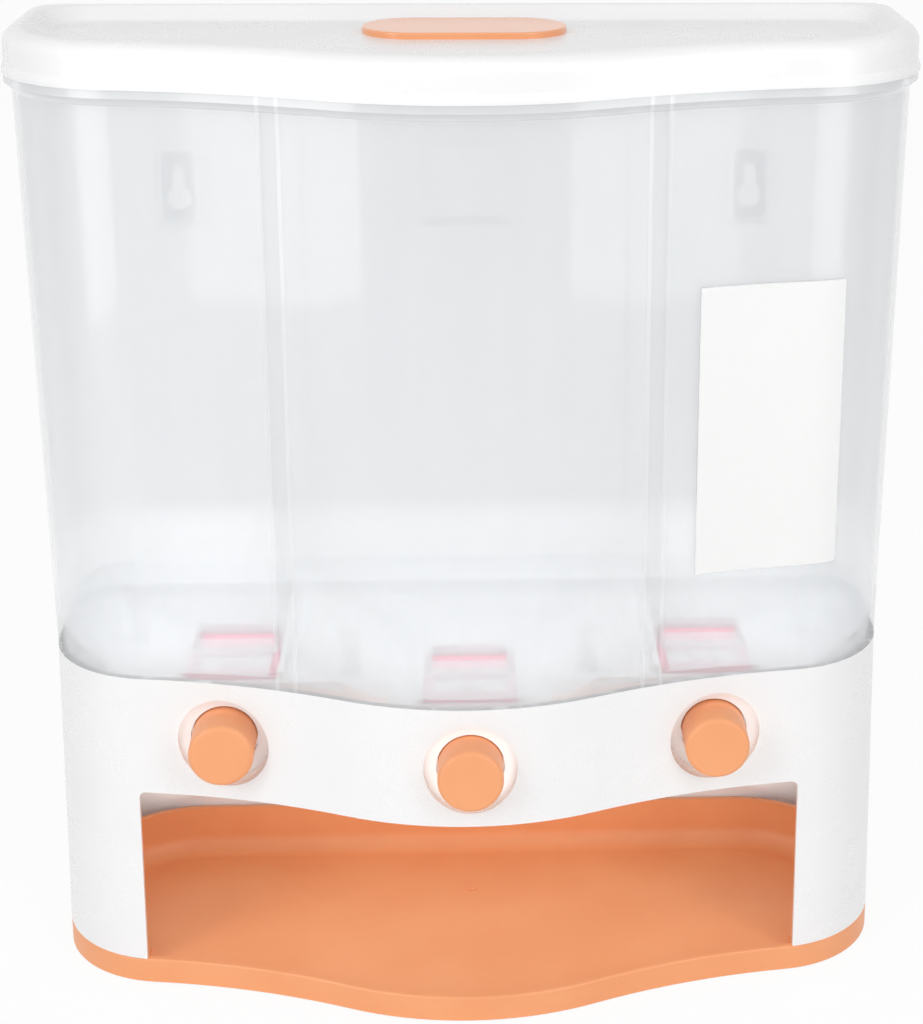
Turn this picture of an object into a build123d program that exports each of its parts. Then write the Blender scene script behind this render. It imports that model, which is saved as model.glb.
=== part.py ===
from build123d import *
import os
from math import cos, radians, sin

# Three-compartment grain dispenser for a wall or a worktop.
# Millimetres. X runs across the front, Y runs from front to back, Z is up.
# The origin is under the middle of the whole depth, on the surface it stands on.

# Plan shape shared by the plinth, housing, container and lid
HOUSING_WIDTH = 306.0
BODY_DEPTH = 120.0
BULGE_RADIUS = 107.7
BULGE_ANGLE = 24.2
FLANK_RADIUS = 260.2
FLANK_ANGLE = 7.3
BACK_CORNER = 14.0

# Heights, from the ground up
FOOT_PROUD = 0.6
PLINTH_HEIGHT = 9.4
HOUSING_HEIGHT = 112.8
CONTAINER_HEIGHT = 214.5
LID_HEIGHT = 15.3

# How far each piece swells beyond the top edge of the housing
PLINTH_SWELL = 1.4
MOUTH_SWELL = 4.2
FLANGE_SWELL = 6.8
LID_SWELL = 6.5
LID_BEAD_SWELL = 7.4

# Base tray
PLINTH_WALL = 2.4
TRAY_FLOOR = 2.4
TRAY_LIP_DROP = 2.0
TRAY_LIP_WIDTH = 2.4
TRAY_LIP_ROUND = 0.9
TRAY_WALL = 2.2
TRAY_WALL_HEIGHT = 17.0
TRAY_WALL_FRONT = 58.0
TRAY_CORNER = 44.0
TRAY_COVE = 7.0
SPRUE_DIAMETER = 4.0
SPRUE_HEIGHT = 0.4
SPRUE_DEPTH = 80.0
RIB_WIDTH = 1.6
RIB_SPACING = 76.0
COLUMN_WALL = 1.0
COLUMN_SHY = 0.4

# Housing, its serving bay and its dished button seats
HOUSING_WALL = 2.5
BAY_WIDTH = 241.0
BAY_HEIGHT = 68.2
BAY_CORNER = 2.5
BAY_CUT_SHY = 10.0
DISH_DIAMETER = 33.2
DISH_RIM = 2.4
MIDDLE_DISH_DEPTH = 3.5
SIDE_DISH_DEPTH = 30.0
LEDGE_WIDTH = 16.0
LEDGE_REACH = 5.0
LEDGE_HEIGHT = 4.5
LEDGE_X = 44.0
LEDGE_DEPTH = 94.0
BOSS_DIAMETER = 8.0
BOSS_MARGIN = 1.5
BOSS_SINK = 1.0
BOSS_CAP = 2.0

# Container, its partitions, hoppers and hanging pockets
CONTAINER_WALL = 2.2
PARTITION_X = 67.8
PARTITION_WALL = 2.0
PARTITION_DROP = 8.0
FLANGE_HEIGHT = 3.0
FLANGE_TAPER = 3.0
FLANGE_STEP = 0.6
SPIGOT_DEPTH = 3.6
HOPPER_WALL = 2.2
HOPPER_RISE = 21.3
HOPPER_FRONT_RUN = 120.0
NECK_HEIGHT = 3.5
OUTLET_WIDTH = 28.0
OUTLET_LENGTH = 15.0
OUTLET_DEPTH = 64.5
POCKET_TOP_DROP = 40.3
POCKET_HEIGHT = 26.0
POCKET_DEPTH = 4.0
POCKET_WALL = 1.5
SIDE_POCKET_WIDTH = 12.0
MIDDLE_POCKET_WIDTH = 29.0
HANGER_SPACING = 215.0
HANGER_HEAD_DIAMETER = 9.0
HANGER_SLOT_WIDTH = 4.5
HANGER_SLOT_RISE = 10.0

# Lid, its seal and its grip
LID_WALL = 2.4
LID_ROUND = 5.5
LID_BEAD_HEIGHT = 1.2
LID_BEAD_TAPER = 2.4
CREST_WIDTH = 6.8
CREST_ROUND = 2.8
CREST_HOLLOW_WIDTH = 4.2
CREST_HOLLOW_INSET = 0.5
CREST_HOLLOW_ROOF = 2.6
RECESS_SLOPE_WIDTH = 6.2
RECESS_DEPTH = 5.4
RECESS_CORNER = 20.0
RECESS_ROUND = 4.0
PLUG_DEPTH = 6.0
PLUG_WALL = 2.6
SEAL_SECTION = 2.0
SEAL_LIFT = 1.6
SEAL_PROUD = 0.5
GRIP_LENGTH = 72.6
GRIP_WIDTH = 36.5
GRIP_HEIGHT = 2.3
GRIP_ROUND = 0.7
GRIP_MARGIN = 5.75
PEG_DIAMETER = 5.0
PEG_SPACING = 44.0

# Push buttons, sliding gates and return springs
BUTTON_SPACING = 88.7
BUTTON_LEVEL = 99.8
BUTTON_DIAMETER = 23.2
BUTTON_PROUD = 9.5
BUTTON_LENGTH = 23.5
BUTTON_ROUND = 1.8
BUTTON_FACE_WALL = 3.0
BUTTON_SIDE_WALL = 1.7
SIDE_SETBACK = 23.0
TRAVEL = 12.0
SPRING_OUTER = 14.0
SPRING_WIRE = 1.2
ROD_DIAMETER = 7.0
SOCKET_WALL = 1.6
SOCKET_LENGTH = 12.0
SOCKET_DEPTH = 6.0
GATE_WIDTH = 34.0
GATE_THICKNESS = 2.4
GATE_OVERLAP = 3.0
WINDOW_LAND = 1.0
WINDOW_LENGTH = 16.0
WEB_WIDTH = 10.0
WEB_THICKNESS = 3.5

# Dispensing deck under the container
DECK_LEVEL = 106.5
DECK_THICKNESS = 2.5
BULKHEAD_THICKNESS = 3.0
BULKHEAD_WIDTH = 32.0
BULKHEAD_DROP = 15.5
TONGUE_WIDTH = 60.0
CHUTE_WALL = 2.0
CHUTE_DROP = 20.0
CHUTE_EASE = 1.0
CHUTE_FLANGE = 2.5
RAIL_WIDTH = 2.2
RAIL_HEIGHT = 3.0
RAIL_OVERRUN = 1.0
SLOT_LAND = 2.5

# Fasteners, feet, outlet seals and label
SCREW_DIAMETER = 3.0
SCREW_HEAD_DIAMETER = 6.0
SCREW_HEAD_HEIGHT = 2.0
DECK_SCREW_LENGTH = 12.0
BASE_SCREW_LENGTH = 14.0
BASE_SCREW_SINK = 4.0
DRIVE_WIDTH = 1.0
DRIVE_LENGTH = 3.6
DRIVE_DEPTH = 1.0
PILOT_EXTRA = 0.5
DECK_SCREW_X = 44.4
DECK_SCREW_DEPTH = 64.0
DECK_REAR_SCREW_X = 128.0
DECK_REAR_SCREW_DEPTH = 98.0
FOOT_DIAMETER = 14.0
FOOT_THICKNESS = 1.6
FOOT_RIM = 2.0
FOOT_ROUND = 0.3
FOOT_SPAN_X = 244.0
FOOT_SPAN_Y = 42.0
FOOT_DEPTH = 76.0
FRONT_FOOT_DEPTH = 22.0
OUTLET_SEAL = 1.0
LABEL_LEFT = 79.8
LABEL_WIDTH = 51.4
LABEL_BOTTOM = 164.0
LABEL_HEIGHT = 105.4
LABEL_THICKNESS = 0.4
ADHESIVE = 0.1

# Clearances
SLIP = 0.3
SLIDE_GAP = 0.15
RUNNING = 0.08
PRESS = 0.02
HOLE_GAP = 0.5

# How far a cut runs past a face, joined forms run into each other, and a mask reaches
OVERCUT = 1.0
FUSE = 0.5
BEYOND = 20.0

# Levels and places that follow from the sizes
APEX_Y = (BUTTON_PROUD - BODY_DEPTH) / 2
BACK_Y = APEX_Y + BODY_DEPTH
PLINTH_TOP = FOOT_PROUD + PLINTH_HEIGHT
HOUSING_TOP = PLINTH_TOP + HOUSING_HEIGHT
MOUTH_TOP = HOUSING_TOP + CONTAINER_HEIGHT
LID_TOP = MOUTH_TOP + LID_HEIGHT
FLANGE_BOTTOM = MOUTH_TOP - FLANGE_HEIGHT
TRAY_LEVEL = PLINTH_TOP - TRAY_LIP_DROP
TRAY_UNDERSIDE = TRAY_LEVEL - TRAY_FLOOR
COLUMN_BOTTOM = FOOT_PROUD + COLUMN_SHY
SCREW_SEAT = FOOT_PROUD + BASE_SCREW_SINK
PILOT_TOP = SCREW_SEAT + BASE_SCREW_LENGTH + PILOT_EXTRA
DECK_TOP = DECK_LEVEL + DECK_THICKNESS
GATE_BOTTOM = DECK_TOP + SLIDE_GAP
GATE_TOP = GATE_BOTTOM + GATE_THICKNESS
NECK_BOTTOM = GATE_TOP + SLIDE_GAP + OUTLET_SEAL
HOPPER_BOTTOM = NECK_BOTTOM + NECK_HEIGHT
HOPPER_TOP = HOPPER_BOTTOM + HOPPER_RISE
SHOULDER_TOP = HOUSING_TOP + CONTAINER_WALL
PANEL_TOP = LID_TOP - RECESS_DEPTH
PANEL_BOTTOM = PANEL_TOP - LID_WALL
SEAL_BOTTOM = MOUTH_TOP - PLUG_DEPTH + SEAL_LIFT
GRIP_Y = BACK_Y - CREST_WIDTH - RECESS_SLOPE_WIDTH - GRIP_MARGIN - GRIP_WIDTH / 2
HALF_WIDTH = HOUSING_WIDTH / 2
DISH_WALL_DIAMETER = DISH_DIAMETER + 2 * DISH_RIM
HOLE_DIAMETER = BUTTON_DIAMETER + 2 * HOLE_GAP
BAY_REACH = TRAY_WALL_FRONT - BAY_CUT_SHY

# Each station: middle in X, setback from the middle station, depth of its dish
STATIONS = {
    "left": (-BUTTON_SPACING, SIDE_SETBACK, SIDE_DISH_DEPTH),
    "middle": (0.0, 0.0, MIDDLE_DISH_DEPTH),
    "right": (BUTTON_SPACING, SIDE_SETBACK, SIDE_DISH_DEPTH),
}


def front_arcs():
    """Centres of the bulge, the right flank and the right corner, and the corner's radius."""
    steep = radians(BULGE_ANGLE)
    shallow = radians(FLANK_ANGLE)
    bulge = (0.0, APEX_Y + BULGE_RADIUS)
    reach = BULGE_RADIUS + FLANK_RADIUS
    flank = (reach * sin(steep), bulge[1] - reach * cos(steep))
    end_x = flank[0] - FLANK_RADIUS * sin(shallow)
    end_y = flank[1] + FLANK_RADIUS * cos(shallow)
    radius = (HALF_WIDTH - end_x) / (1 - sin(shallow))
    corner = (end_x - radius * sin(shallow), end_y + radius * cos(shallow))
    return bulge, flank, corner, radius


def plan(level, swell, inset=0.0, back_corner=None):
    """Plan outline at a level, swollen at the front and sides and inset at the back."""
    bulge, flank, corner, radius = front_arcs()
    turn = BACK_CORNER - inset if back_corner is None else back_corner
    side = HALF_WIDTH + swell
    back = BACK_Y - inset
    with BuildSketch(Plane.XY.offset(level)) as outline:
        with BuildLine():
            CenterArc(flank, FLANK_RADIUS - swell, 90 + FLANK_ANGLE, BULGE_ANGLE - FLANK_ANGLE)
            CenterArc(corner, radius + swell, FLANK_ANGLE - 90, 90 - FLANK_ANGLE)
            Line((side, corner[1]), (side, back - turn))
            CenterArc((side - turn, back - turn), turn, 0, 90)
            mirror(about=Plane.YZ)
            CenterArc(bulge, BULGE_RADIUS + swell, -90 - BULGE_ANGLE, 2 * BULGE_ANGLE)
            Line((side - turn, back), (turn - side, back))
        make_face()
    return outline.sketch


def rectangle_at(level, x_low, x_high, y_low, y_high):
    """Rectangle at a level, given by its four sides."""
    with BuildSketch(Plane.XY.offset(level)) as outline:
        with Locations(((x_low + x_high) / 2, (y_low + y_high) / 2)):
            Rectangle(x_high - x_low, y_high - y_low)
    return outline.sketch


def container_swell(level):
    """Swell of the container's outer face at a level."""
    return MOUTH_SWELL * (level - HOUSING_TOP) / (FLANGE_BOTTOM - HOUSING_TOP)


def facing_front(x, depth, z):
    """Upright plane behind the apex by a depth; its normal faces the user and its y is up."""
    return Plane(origin=(x, APEX_Y + depth, z), x_dir=(1, 0, 0), z_dir=(0, -1, 0))


def band(level, height, outer, outer_inset, inner, inner_inset):
    """Closed band between two plan outlines, each given by its swell and its inset."""
    with BuildPart() as ring:
        add(plan(level, outer, outer_inset))
        extrude(amount=height)
        add(plan(level, inner, inner_inset))
        extrude(amount=height, mode=Mode.SUBTRACT)
    return ring.part


def compartment(name):
    """Left and right limits of a compartment between its partitions."""
    half_wall = PARTITION_WALL / 2
    reach = HALF_WIDTH + FLANGE_SWELL
    return {
        "left": (-reach, -PARTITION_X - half_wall),
        "middle": (half_wall - PARTITION_X, PARTITION_X - half_wall),
        "right": (PARTITION_X + half_wall, reach),
    }[name]


def outlet(name, ease=0.0):
    """Four sides of a compartment's outlet, eased outward by a margin."""
    x, setback, _ = STATIONS[name]
    y = APEX_Y + OUTLET_DEPTH + setback
    half_x = OUTLET_WIDTH / 2 + ease
    half_y = OUTLET_LENGTH / 2 + ease
    return x - half_x, x + half_x, y - half_y, y + half_y


def hopper(name, ease):
    """Funnel over an outlet; eased outward and downward it makes the hopper's under side."""
    x_low, x_high = compartment(name)
    sides = outlet(name, ease)
    with BuildPart() as funnel:
        add(rectangle_at(HOPPER_BOTTOM - ease, *sides))
        add(
            rectangle_at(
                HOPPER_TOP - ease,
                x_low - ease,
                x_high + ease,
                sides[2] - HOPPER_FRONT_RUN,
                BACK_Y - CONTAINER_WALL + ease,
            )
        )
        loft(ruled=True)
    return funnel.part


# Screw and foot positions
_, _, CORNER_CENTRE, CORNER_RADIUS = front_arcs()
CORNER_BOSS = CORNER_RADIUS + PLINTH_SWELL - HOUSING_WALL - BOSS_DIAMETER / 2 + BOSS_SINK
FRONT_SCREW = CORNER_BOSS * sin(radians(45))
REAR_SCREW_X = HALF_WIDTH - HOUSING_WALL - BOSS_DIAMETER / 2 - BOSS_MARGIN
REAR_SCREW_Y = BACK_Y - HOUSING_WALL - BOSS_DIAMETER / 2 - BOSS_MARGIN
BASE_SCREWS = [
    (CORNER_CENTRE[0] + FRONT_SCREW, CORNER_CENTRE[1] - FRONT_SCREW),
    (-CORNER_CENTRE[0] - FRONT_SCREW, CORNER_CENTRE[1] - FRONT_SCREW),
    (REAR_SCREW_X, REAR_SCREW_Y),
    (-REAR_SCREW_X, REAR_SCREW_Y),
]
DECK_SCREWS = [
    (DECK_SCREW_X, APEX_Y + DECK_SCREW_DEPTH),
    (-DECK_SCREW_X, APEX_Y + DECK_SCREW_DEPTH),
    (DECK_REAR_SCREW_X, APEX_Y + DECK_REAR_SCREW_DEPTH),
    (-DECK_REAR_SCREW_X, APEX_Y + DECK_REAR_SCREW_DEPTH),
]
FEET = [
    (FOOT_SPAN_X / 2, APEX_Y + FOOT_DEPTH - FOOT_SPAN_Y / 2),
    (-FOOT_SPAN_X / 2, APEX_Y + FOOT_DEPTH - FOOT_SPAN_Y / 2),
    (FOOT_SPAN_X / 2, APEX_Y + FOOT_DEPTH + FOOT_SPAN_Y / 2),
    (-FOOT_SPAN_X / 2, APEX_Y + FOOT_DEPTH + FOOT_SPAN_Y / 2),
    (0.0, APEX_Y + FRONT_FOOT_DEPTH),
]

# Base tray: a hollow plinth, a shallow floor and a low wall round its back and sides
WALL_INSET = HOUSING_WALL + 2 * SLIP
WALL_OUTER = PLINTH_SWELL - WALL_INSET
FLOOR_INSET = WALL_INSET + TRAY_WALL
FLOOR_SWELL = PLINTH_SWELL - FLOOR_INSET

with BuildPart() as tray_space:
    add(plan(TRAY_LEVEL, FLOOR_SWELL, FLOOR_INSET, TRAY_CORNER))
    extrude(amount=TRAY_WALL_HEIGHT + PLINTH_HEIGHT)
    fillet(tray_space.edges().group_by(Axis.Z)[0], radius=TRAY_COVE)

with BuildPart() as lip_space:
    add(plan(TRAY_LEVEL, PLINTH_SWELL - TRAY_LIP_WIDTH, FLOOR_INSET, TRAY_CORNER))
    extrude(amount=PLINTH_HEIGHT)
    with BuildSketch(Plane.XY.offset(TRAY_LEVEL)):
        with Locations((0, APEX_Y + BAY_REACH)):
            Rectangle(BAY_WIDTH - 2 * SLIP, BODY_DEPTH, align=(Align.CENTER, Align.MAX))
    extrude(amount=PLINTH_HEIGHT, mode=Mode.INTERSECT)

with BuildPart() as plinth_hollow:
    add(plan(FOOT_PROUD, PLINTH_SWELL - PLINTH_WALL, PLINTH_WALL))
    extrude(amount=TRAY_UNDERSIDE - FOOT_PROUD)
    with BuildSketch(Plane.XY.offset(COLUMN_BOTTOM)):
        with Locations((-RIB_SPACING, 0), (0, 0), (RIB_SPACING, 0)):
            Rectangle(RIB_WIDTH, 2 * BODY_DEPTH)
        with Locations((0, APEX_Y + FOOT_DEPTH)):
            Rectangle(2 * HOUSING_WIDTH, RIB_WIDTH)
        with Locations(*FEET):
            Circle(FOOT_DIAMETER / 2 + FOOT_RIM)
        with Locations(*BASE_SCREWS):
            Circle(BOSS_DIAMETER / 2 + COLUMN_WALL)
    extrude(amount=TRAY_UNDERSIDE - COLUMN_BOTTOM, mode=Mode.SUBTRACT)

with BuildPart() as base_tray:
    add(plan(FOOT_PROUD, PLINTH_SWELL))
    extrude(amount=PLINTH_HEIGHT)
    fillet(base_tray.edges().group_by(Axis.Z)[-1], radius=TRAY_LIP_ROUND)
    add(plan(PLINTH_TOP, WALL_OUTER, WALL_INSET, TRAY_CORNER + TRAY_WALL))
    extrude(amount=TRAY_WALL_HEIGHT)
    with BuildSketch(Plane.XY.offset(PLINTH_TOP)):
        with Locations((0, APEX_Y + TRAY_WALL_FRONT)):
            Rectangle(2 * HOUSING_WIDTH, BODY_DEPTH, align=(Align.CENTER, Align.MAX))
    extrude(amount=TRAY_WALL_HEIGHT, mode=Mode.SUBTRACT)
    add(tray_space.part, mode=Mode.SUBTRACT)
    add(lip_space.part, mode=Mode.SUBTRACT)
    add(plinth_hollow.part, mode=Mode.SUBTRACT)
    with BuildSketch(Plane.XY.offset(TRAY_UNDERSIDE)):
        with Locations(*BASE_SCREWS):
            Circle(BOSS_DIAMETER / 2)
    extrude(amount=PLINTH_TOP - TRAY_UNDERSIDE)
    with BuildSketch(Plane.XY.offset(TRAY_LEVEL)):
        with Locations((0, APEX_Y + SPRUE_DEPTH)):
            Circle(SPRUE_DIAMETER / 2)
    extrude(amount=SPRUE_HEIGHT)
    with BuildSketch(Plane.XY.offset(FOOT_PROUD)):
        with Locations(*FEET):
            Circle(FOOT_DIAMETER / 2 + RUNNING)
    extrude(amount=FOOT_THICKNESS - FOOT_PROUD, mode=Mode.SUBTRACT)
    with BuildSketch(Plane.XY.offset(FOOT_PROUD)):
        with Locations(*BASE_SCREWS):
            Circle(SCREW_HEAD_DIAMETER / 2 + SLIP)
    extrude(amount=BASE_SCREW_SINK, mode=Mode.SUBTRACT)
    with BuildSketch(Plane.XY.offset(FOOT_PROUD)):
        with Locations(*BASE_SCREWS):
            Circle(SCREW_DIAMETER / 2 + RUNNING)
    extrude(amount=PLINTH_HEIGHT, mode=Mode.SUBTRACT)
base_tray.part.label = "base_tray"

# Housing: a white sleeve with the serving bay cut through its front
with BuildPart() as housing_outer:
    add(plan(PLINTH_TOP, PLINTH_SWELL))
    add(plan(HOUSING_TOP, 0.0))
    loft(ruled=True)

with BuildPart() as housing:
    add(plan(PLINTH_TOP, PLINTH_SWELL))
    add(plan(HOUSING_TOP, 0.0))
    loft(ruled=True)
    add(plan(PLINTH_TOP, PLINTH_SWELL - HOUSING_WALL, HOUSING_WALL))
    add(plan(HOUSING_TOP, -HOUSING_WALL, HOUSING_WALL))
    loft(ruled=True, mode=Mode.SUBTRACT)
    with BuildSketch(Plane.XY.offset(PLINTH_TOP)):
        with Locations(*BASE_SCREWS):
            Circle(BOSS_DIAMETER / 2)
    extrude(amount=PILOT_TOP + BOSS_CAP - PLINTH_TOP)
    with BuildSketch(Plane.XY.offset(DECK_TOP)):
        with Locations((-LEDGE_X, BACK_Y - HOUSING_WALL), (LEDGE_X, BACK_Y - HOUSING_WALL)):
            Rectangle(LEDGE_WIDTH, 2 * LEDGE_REACH)
        wall_x = HALF_WIDTH - HOUSING_WALL
        with Locations((-wall_x, APEX_Y + LEDGE_DEPTH), (wall_x, APEX_Y + LEDGE_DEPTH)):
            Rectangle(2 * LEDGE_REACH, LEDGE_WIDTH)
    extrude(amount=LEDGE_HEIGHT)
    for x, setback, dish in STATIONS.values():
        with BuildSketch(facing_front(x, dish + HOUSING_WALL, BUTTON_LEVEL)):
            Circle(DISH_WALL_DIAMETER / 2)
        extrude(amount=dish + HOUSING_WALL + BEYOND)
    add(housing_outer.part, mode=Mode.INTERSECT)
    for x, setback, dish in STATIONS.values():
        with BuildSketch(facing_front(x, dish, BUTTON_LEVEL)):
            Circle(DISH_DIAMETER / 2)
        extrude(amount=dish + BEYOND, mode=Mode.SUBTRACT)
        with BuildSketch(facing_front(x, dish - OVERCUT, BUTTON_LEVEL)):
            Circle(HOLE_DIAMETER / 2)
        extrude(amount=-(HOUSING_WALL + 2 * OVERCUT), mode=Mode.SUBTRACT)
    with BuildSketch(facing_front(0, BAY_REACH, PLINTH_TOP)):
        with Locations((0, BAY_HEIGHT)):
            RectangleRounded(BAY_WIDTH, 2 * BAY_HEIGHT, BAY_CORNER, align=(Align.CENTER, Align.MAX))
    extrude(amount=BAY_REACH + BEYOND, mode=Mode.SUBTRACT)
    with BuildSketch(Plane.XY.offset(PLINTH_TOP)):
        with Locations(*BASE_SCREWS):
            Circle(SCREW_DIAMETER / 2 + PRESS)
    extrude(amount=PILOT_TOP - PLINTH_TOP, mode=Mode.SUBTRACT)
housing.part.label = "housing"

# Container: three compartments side by side, each with a hopper down to its own outlet
SPIGOT_SWELL = -HOUSING_WALL - SLIP
SPIGOT_INSET = HOUSING_WALL + SLIP
UNDER_BOTTOM = DECK_TOP - OVERCUT

with BuildPart() as container_outer:
    add(plan(HOUSING_TOP, 0.0))
    add(plan(FLANGE_BOTTOM, MOUTH_SWELL))
    loft(ruled=True)

with BuildPart() as container_inside:
    add(plan(SHOULDER_TOP, container_swell(SHOULDER_TOP) - CONTAINER_WALL, CONTAINER_WALL))
    add(plan(MOUTH_TOP, container_swell(MOUTH_TOP) - CONTAINER_WALL, CONTAINER_WALL))
    loft(ruled=True)
    add(plan(UNDER_BOTTOM, SPIGOT_SWELL - CONTAINER_WALL, SPIGOT_INSET + CONTAINER_WALL))
    extrude(amount=SHOULDER_TOP - UNDER_BOTTOM)

funnels = {name: hopper(name, 0.0) for name in STATIONS}
funnel_undersides = {name: hopper(name, HOPPER_WALL) for name in STATIONS}

with BuildPart() as chambers:
    for name in STATIONS:
        add(funnels[name])
        add(rectangle_at(HOPPER_TOP, *compartment(name), APEX_Y - BEYOND, BACK_Y))
        extrude(amount=MOUTH_TOP - PARTITION_DROP - HOPPER_TOP)
    add(container_inside.part, mode=Mode.INTERSECT)
    for name in STATIONS:
        add(rectangle_at(UNDER_BOTTOM, *outlet(name)))
        extrude(amount=HOPPER_BOTTOM - UNDER_BOTTOM + FUSE)
    add(plan(MOUTH_TOP, container_swell(MOUTH_TOP) - CONTAINER_WALL, CONTAINER_WALL))
    add(
        plan(
            MOUTH_TOP - PARTITION_DROP,
            container_swell(MOUTH_TOP - PARTITION_DROP) - CONTAINER_WALL,
            CONTAINER_WALL,
        )
    )
    loft(ruled=True)

with BuildPart() as under_space:
    with BuildSketch(Plane.XY.offset(UNDER_BOTTOM)):
        Rectangle(2 * HOUSING_WIDTH, 2 * BODY_DEPTH)
    extrude(amount=HOPPER_TOP - HOPPER_WALL - UNDER_BOTTOM)
    add(container_inside.part, mode=Mode.INTERSECT)
    for name in STATIONS:
        add(funnel_undersides[name], mode=Mode.SUBTRACT)
        add(rectangle_at(NECK_BOTTOM, *outlet(name, HOPPER_WALL)))
        extrude(amount=HOPPER_RISE, mode=Mode.SUBTRACT)
    with BuildSketch(Plane.XY.offset(DECK_TOP)):
        with Locations(*DECK_SCREWS):
            Circle(BOSS_DIAMETER / 2)
    extrude(amount=HOPPER_TOP - DECK_TOP, mode=Mode.SUBTRACT)

with BuildPart() as lower_shell:
    add(plan(DECK_TOP, SPIGOT_SWELL - CONTAINER_WALL, SPIGOT_INSET + CONTAINER_WALL))
    extrude(amount=SHOULDER_TOP - DECK_TOP)
    add(under_space.part, mode=Mode.SUBTRACT)

POCKET_MIDDLE = MOUTH_TOP - POCKET_TOP_DROP - POCKET_HEIGHT / 2
HANGER_LEVEL = POCKET_MIDDLE - HANGER_SLOT_RISE / 2
WALL_DEPTH = BODY_DEPTH - CONTAINER_WALL
POCKETS = [
    (-HANGER_SPACING / 2, SIDE_POCKET_WIDTH),
    (0.0, MIDDLE_POCKET_WIDTH),
    (HANGER_SPACING / 2, SIDE_POCKET_WIDTH),
]

with BuildPart() as container:
    add(container_outer.part)
    add(plan(FLANGE_BOTTOM - FLANGE_TAPER, container_swell(FLANGE_BOTTOM - FLANGE_TAPER)))
    add(plan(FLANGE_BOTTOM, FLANGE_SWELL - FLANGE_STEP))
    loft(ruled=True)
    add(plan(FLANGE_BOTTOM, FLANGE_SWELL))
    extrude(amount=FLANGE_HEIGHT)
    add(plan(HOUSING_TOP - SPIGOT_DEPTH, SPIGOT_SWELL, SPIGOT_INSET))
    extrude(amount=SPIGOT_DEPTH)
    add(lower_shell.part)
    add(under_space.part, mode=Mode.SUBTRACT)
    add(chambers.part, mode=Mode.SUBTRACT)
    for x, width in POCKETS:
        with BuildSketch(facing_front(x, WALL_DEPTH, POCKET_MIDDLE)):
            Rectangle(width + 2 * POCKET_WALL, POCKET_HEIGHT + 2 * POCKET_WALL)
        extrude(amount=POCKET_DEPTH + POCKET_WALL)
        with BuildSketch(facing_front(x, WALL_DEPTH, POCKET_MIDDLE)):
            Rectangle(width, POCKET_HEIGHT)
        extrude(amount=POCKET_DEPTH, mode=Mode.SUBTRACT)
    with BuildSketch(facing_front(0, BODY_DEPTH, POCKET_MIDDLE)):
        Rectangle(MIDDLE_POCKET_WIDTH, POCKET_HEIGHT)
    extrude(amount=CONTAINER_WALL, mode=Mode.SUBTRACT)
    for x in (-HANGER_SPACING / 2, HANGER_SPACING / 2):
        with BuildSketch(facing_front(x, BODY_DEPTH, HANGER_LEVEL)):
            Circle(HANGER_HEAD_DIAMETER / 2)
            with Locations((0, HANGER_SLOT_RISE / 2)):
                Rectangle(HANGER_SLOT_WIDTH, HANGER_SLOT_RISE)
            with Locations((0, HANGER_SLOT_RISE)):
                Circle(HANGER_SLOT_WIDTH / 2)
        extrude(amount=CONTAINER_WALL, mode=Mode.SUBTRACT)
    with BuildSketch(Plane.XY.offset(DECK_TOP)):
        with Locations(*DECK_SCREWS):
            Circle(SCREW_DIAMETER / 2 + PRESS)
    extrude(amount=DECK_SCREW_LENGTH - DECK_THICKNESS + PILOT_EXTRA, mode=Mode.SUBTRACT)
container.part.label = "container"

# Lid: a low cover with a sloped recess on top and a plug that drops into the mouth
PLUG_SWELL = MOUTH_SWELL - CONTAINER_WALL - SLIP - SEAL_PROUD
PLUG_INSET = CONTAINER_WALL + SLIP + SEAL_PROUD
GROOVE_FLOOR = SEAL_SECTION - SEAL_PROUD
HOLLOW_SWELL = LID_SWELL - LID_WALL

with BuildPart() as recess:
    add(plan(LID_TOP, LID_SWELL - CREST_WIDTH, CREST_WIDTH, RECESS_CORNER))
    add(
        plan(
            PANEL_TOP,
            LID_SWELL - CREST_WIDTH - RECESS_SLOPE_WIDTH,
            CREST_WIDTH + RECESS_SLOPE_WIDTH,
            RECESS_CORNER - RECESS_SLOPE_WIDTH,
        )
    )
    loft(ruled=True)
    fillet(recess.edges().group_by(Axis.Z)[0], radius=RECESS_ROUND)

plug = band(
    MOUTH_TOP - PLUG_DEPTH,
    PANEL_BOTTOM - MOUTH_TOP + PLUG_DEPTH + FUSE,
    PLUG_SWELL,
    PLUG_INSET,
    PLUG_SWELL - PLUG_WALL,
    PLUG_INSET + PLUG_WALL,
)
crest_hollow = band(
    PANEL_BOTTOM - FUSE,
    LID_TOP - CREST_HOLLOW_ROOF - PANEL_BOTTOM + FUSE,
    HOLLOW_SWELL - CREST_HOLLOW_INSET,
    LID_WALL + CREST_HOLLOW_INSET,
    HOLLOW_SWELL - CREST_HOLLOW_WIDTH,
    LID_WALL + CREST_HOLLOW_WIDTH,
)
seal_groove = band(
    SEAL_BOTTOM,
    SEAL_SECTION,
    PLUG_SWELL + OVERCUT,
    PLUG_INSET - OVERCUT,
    PLUG_SWELL - GROOVE_FLOOR,
    PLUG_INSET + GROOVE_FLOOR,
)

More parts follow.
